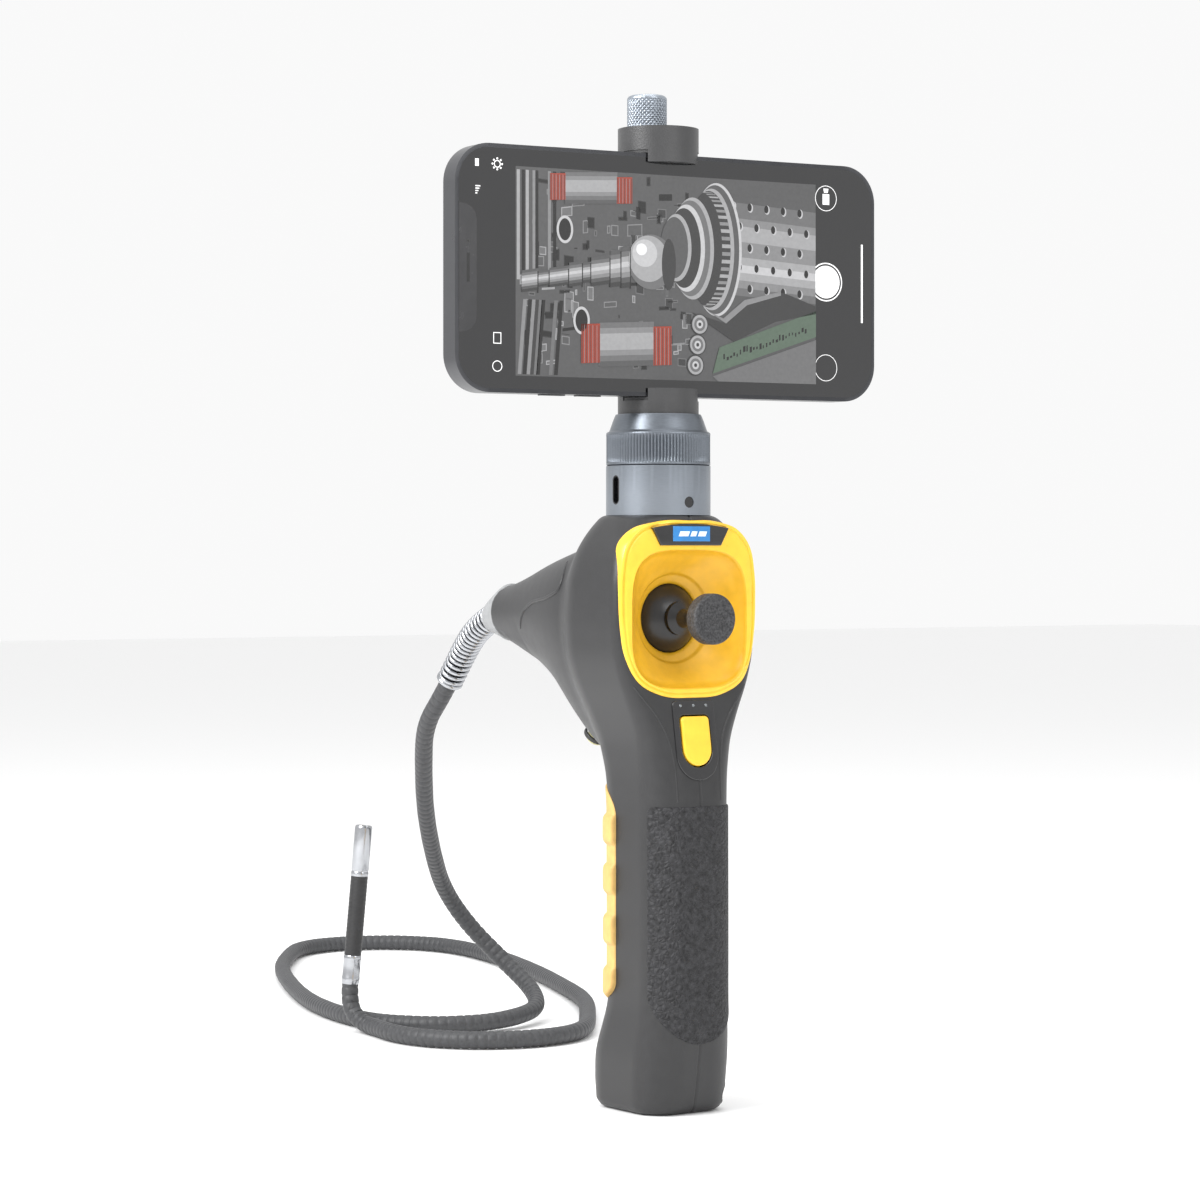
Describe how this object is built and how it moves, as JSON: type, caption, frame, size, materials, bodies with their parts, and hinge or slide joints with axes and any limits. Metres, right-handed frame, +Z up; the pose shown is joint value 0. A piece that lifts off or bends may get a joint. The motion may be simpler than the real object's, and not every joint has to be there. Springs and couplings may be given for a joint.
{
  "type": "inspection camera",
  "caption": "Handheld inspection camera: joystick handle, turning phone clamp with phone, and a semi-stiff snake ending in a steerable probe.",
  "frame": {"origin": "centre line of the collar at the foot's resting face", "axes": "+Z up along the handle, +Y the way the nose points, -Y the joystick's side"},
  "size_m": [0.2647, 0.4804, 0.3266],
  "materials": {
    "black_plastic": "fine satin moulded black",
    "yellow_plastic": "satin yellow",
    "dark_gloss": "glossy black",
    "blue_inlay": "glossy blue",
    "grip_rubber": "leather grained rubber",
    "yellow_rubber": "matt yellow rubber",
    "clear_lens": "clear",
    "pale_plastic": "pale grey-yellow",
    "steel": "brushed",
    "circuit_board": "solder mask green",
    "battery_wrap": "shrink wrap",
    "inner_plastic": "moulded grey",
    "ferrule_grey": "satin grey",
    "bright_steel": "polished",
    "snake_rubber": "ribbed dark grey",
    "skin_rubber": "smooth black",
    "led_board": "white board with emitters",
    "anodised": "blue-grey anodised",
    "clamp_black": "satin black",
    "steel_grey": "knurled grey",
    "phone_metal": "satin dark grey",
    "phone_glass": "gloss black glass",
    "display": "lit display",
    "phone_back_glass": "gloss"
  },
  "bodies": {
    "root": {"housing_left": "black_plastic", "housing_right": "black_plastic", "joystick_bezel": "yellow_plastic", "badge_plate": "dark_gloss", "badge_inlay": "blue_inlay", "palm_pad": "grip_rubber", "finger_grip": "yellow_rubber", "button_panel": "dark_gloss", "indicator_lenses": "clear_lens", "housing_screws": "steel", "tact_switches": "dark_gloss", "main_pcb": "circuit_board", "battery_cell": "battery_wrap", "battery_contacts": "steel", "gimbal_frame": "inner_plastic", "wire_guide": "inner_plastic", "pull_wires": "steel", "nozzle_ferrule": "ferrule_grey", "relief_spring": "bright_steel", "snake_tube": "snake_rubber", "tip_ferrule": "bright_steel", "bending_skin": "skin_rubber", "collar_body": "anodised", "usb_port": "steel", "collar_lens": "dark_gloss", "radio_pcb": "circuit_board"},
    "lock_ring": {"lock_ring": "anodised"},
    "clamp": {"clamp_base": "clamp_black", "lower_pad": "skin_rubber"},
    "jaw": {"upper_jaw": "clamp_black", "upper_pad": "skin_rubber"},
    "thumb_screw": {"thumb_screw": "steel_grey"},
    "phone": {"phone_frame": "phone_metal", "phone_glass": "phone_glass", "phone_display": "display", "phone_back": "phone_back_glass"},
    "power_button": {"phone_power_button": "phone_metal"},
    "volume_up": {"phone_volume_up": "phone_metal"},
    "volume_down": {"phone_volume_down": "phone_metal"},
    "yoke": {"joystick_yoke": "steel"},
    "joystick": {"joystick_stick": "dark_gloss", "joystick_cap": "grip_rubber"},
    "mode_button": {"mode_button": "yellow_plastic"},
    "rear_button": {"rear_button": "pale_plastic"},
    "probe_head": {"camera_head": "bright_steel", "camera_module": "inner_plastic", "led_ring": "led_board", "lens_window": "clear_lens"},
    "link_1": {"vertebra_1": "steel"},
    "link_2": {"vertebra_2": "steel"},
    "link_3": {"vertebra_3": "steel"},
    "link_4": {"vertebra_4": "steel"},
    "link_5": {"vertebra_5": "steel"}
  },
  "joints": [
    {"name": "lock_ring_turn", "type": "hinge", "parent": "root", "child": "lock_ring", "pos_m": [0, 0, 0.212], "axis": [0, 0, 1], "range_deg": [0, 120]},
    {"name": "clamp_swivel", "type": "hinge", "parent": "root", "child": "clamp", "pos_m": [0, 0, 0.215], "axis": [0, 0, 1], "continuous": true},
    {"name": "jaw_slide", "type": "slide", "parent": "clamp", "child": "jaw", "axis": [0, 0, 1], "range_m": [0, 0.012]},
    {"name": "thumb_screw_turn", "type": "hinge", "parent": "jaw", "child": "thumb_screw", "pos_m": [0.00069, 0.00717, 0.32], "axis": [0, 0, 1], "range_deg": [0, 2160]},
    {"name": "phone_slide", "type": "slide", "parent": "clamp", "child": "phone", "axis": [0.9954, -0.0958, 0], "range_m": [-0.008, 0.008]},
    {"name": "power_press", "type": "slide", "parent": "phone", "child": "power_button", "axis": [0, 0, -1], "range_m": [0, 0.0003], "stiffness_N_per_m": 900},
    {"name": "volume_up_press", "type": "slide", "parent": "phone", "child": "volume_up", "axis": [0, 0, 1], "range_m": [0, 0.0003], "stiffness_N_per_m": 900},
    {"name": "volume_down_press", "type": "slide", "parent": "phone", "child": "volume_down", "axis": [0, 0, 1], "range_m": [0, 0.0003], "stiffness_N_per_m": 900},
    {"name": "joystick_pan", "type": "hinge", "parent": "root", "child": "yoke", "pos_m": [0, 0.0013, 0.1575], "axis": [0, 0, 1], "range_deg": [-20, 20], "stiffness_Nm_per_rad": 0.25},
    {"name": "joystick_tilt", "type": "hinge", "parent": "yoke", "child": "joystick", "pos_m": [0, 0.0013, 0.1575], "axis": [1, 0, 0], "range_deg": [-20, 20], "stiffness_Nm_per_rad": 0.25},
    {"name": "mode_press", "type": "slide", "parent": "root", "child": "mode_button", "axis": [0, 0.9867, -0.1628], "range_m": [0, 0.0007], "stiffness_N_per_m": 1200},
    {"name": "rear_press", "type": "slide", "parent": "root", "child": "rear_button", "axis": [0, -0.6359, 0.7718], "range_m": [0, 0.0007], "stiffness_N_per_m": 1200},
    {"name": "bend_1", "type": "hinge", "parent": "root", "child": "link_1", "pos_m": [0.01397, 0.21368, 0.03085], "axis": [0.9976, 0.0035, -0.0697], "range_deg": [-28, 28], "deforming": ["bending_skin"]},
    {"name": "bend_2", "type": "hinge", "parent": "link_1", "child": "link_2", "pos_m": [0.01431, 0.21344, 0.03564], "axis": [0, 0.9988, 0.0499], "range_deg": [-28, 28]},
    {"name": "bend_3", "type": "hinge", "parent": "link_2", "child": "link_3", "pos_m": [0.01464, 0.2132, 0.04042], "axis": [0.9976, 0.0035, -0.0697], "range_deg": [-28, 28]},
    {"name": "bend_4", "type": "hinge", "parent": "link_3", "child": "link_4", "pos_m": [0.01498, 0.21296, 0.0452], "axis": [0, 0.9988, 0.0499], "range_deg": [-28, 28]},
    {"name": "bend_5", "type": "hinge", "parent": "link_4", "child": "link_5", "pos_m": [0.01531, 0.21272, 0.04998], "axis": [0.9976, 0.0035, -0.0697], "range_deg": [-28, 28]},
    {"name": "bend_6", "type": "hinge", "parent": "link_5", "child": "probe_head", "pos_m": [0.01565, 0.21248, 0.05477], "axis": [0, 0.9988, 0.0499], "range_deg": [-28, 28]}
  ],
  "couplings": [
    {"joint": "thumb_screw_turn", "follows": "jaw_slide", "rad_per_m": 3141.6},
    {"joint": "bend_1", "follows": "joystick_tilt", "ratio": 1.4},
    {"joint": "bend_2", "follows": "joystick_pan", "ratio": 1.4},
    {"joint": "bend_3", "follows": "joystick_tilt", "ratio": 1.4},
    {"joint": "bend_4", "follows": "joystick_pan", "ratio": 1.4},
    {"joint": "bend_5", "follows": "joystick_tilt", "ratio": 1.4},
    {"joint": "bend_6", "follows": "joystick_pan", "ratio": 1.4}
  ]
}
